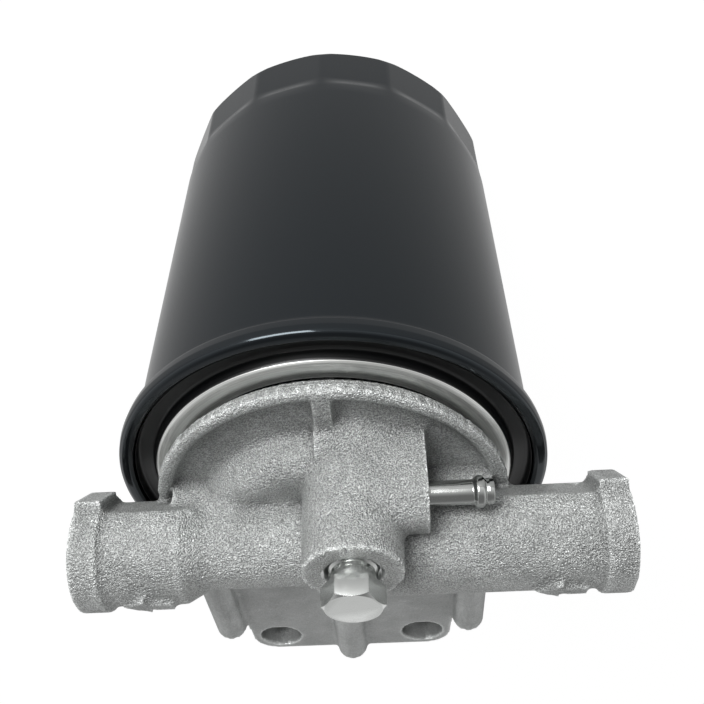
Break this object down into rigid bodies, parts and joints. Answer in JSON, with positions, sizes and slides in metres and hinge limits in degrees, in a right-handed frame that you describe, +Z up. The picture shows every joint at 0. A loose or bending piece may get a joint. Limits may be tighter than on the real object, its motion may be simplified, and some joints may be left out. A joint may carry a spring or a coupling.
{
  "type": "spin-on system filter",
  "caption": "Spin-on system filter: black can with ring magnet and pleated element on a die-cast in-line head with mounting flange, bleed screw and hose nipple.",
  "frame": {"origin": "midway between the two flange holes, on the flange's underside", "axes": "+Z up along the can's axis from can to head, +X towards the outlet port, +Y away from the can across the flange"},
  "size_m": [0.1173, 0.1155, 0.157],
  "materials": {
    "cast_aluminium": "shot-blasted die casting, fine grainy matt",
    "black_paint": "gloss black",
    "zinc_sheet": "bright zinc plate with turning lines",
    "plate_steel": "phosphated pressed steel",
    "bright_plate": "bright nickel plate",
    "sealing_rubber": "matt moulded",
    "filter_paper": "resin-treated pleated paper",
    "spring_wire": "drawn wire",
    "ferrite": "sintered, dull dark grey"
  },
  "bodies": {
    "housing": {"filter_head": "cast_aluminium", "centre_stud": "zinc_sheet", "hose_nipple": "bright_plate"},
    "gasket": {"head_gasket": "sealing_rubber"},
    "cartridge": {"canister_shell": "black_paint", "seaming_lid": "zinc_sheet", "tapping_plate": "plate_steel", "anti_drain_diaphragm": "sealing_rubber", "element_grommet": "sealing_rubber", "element_top_cap": "plate_steel", "element_bottom_cap": "plate_steel", "element_media": "filter_paper", "element_core": "plate_steel", "bypass_cage": "plate_steel", "bypass_spring": "spring_wire", "end_spring": "spring_wire", "magnet_cup": "plate_steel", "magnet_ring": "ferrite"},
    "bypass": {"bypass_poppet": "plate_steel"},
    "bleed_ring": {"vent_ring": "sealing_rubber"},
    "bleed_screw": {"vent_plug": "bright_plate"}
  },
  "joints": [
    {"name": "cartridge_drop", "type": "slide", "parent": "housing", "child": "gasket", "axis": [0, 0, -1], "range_m": [0, 0.0106]},
    {"name": "cartridge_unscrew", "type": "hinge", "parent": "gasket", "child": "cartridge", "pos_m": [0, -0.059, -0.002], "axis": [0, 0, -1], "range_deg": [0, 2520]},
    {"name": "bypass_lift", "type": "slide", "parent": "cartridge", "child": "bypass", "axis": [0, 0, 1], "range_m": [0, 0.0035], "stiffness_N_per_m": 1500, "springref_m": -0.004, "deforming": ["bypass_spring"]},
    {"name": "bleed_rise", "type": "slide", "parent": "housing", "child": "bleed_ring", "axis": [0, 0, 1], "range_m": [0, 0.006]},
    {"name": "bleed_unscrew", "type": "hinge", "parent": "bleed_ring", "child": "bleed_screw", "pos_m": [-0.005, -0.0725, 0.0272], "axis": [0, 0, 1], "range_deg": [0, 2196]}
  ],
  "couplings": [
    {"joint": "cartridge_drop", "follows": "cartridge_unscrew", "m_per_rad": 0.00023873},
    {"joint": "bleed_unscrew", "follows": "bleed_rise", "rad_per_m": 6283.2}
  ]
}
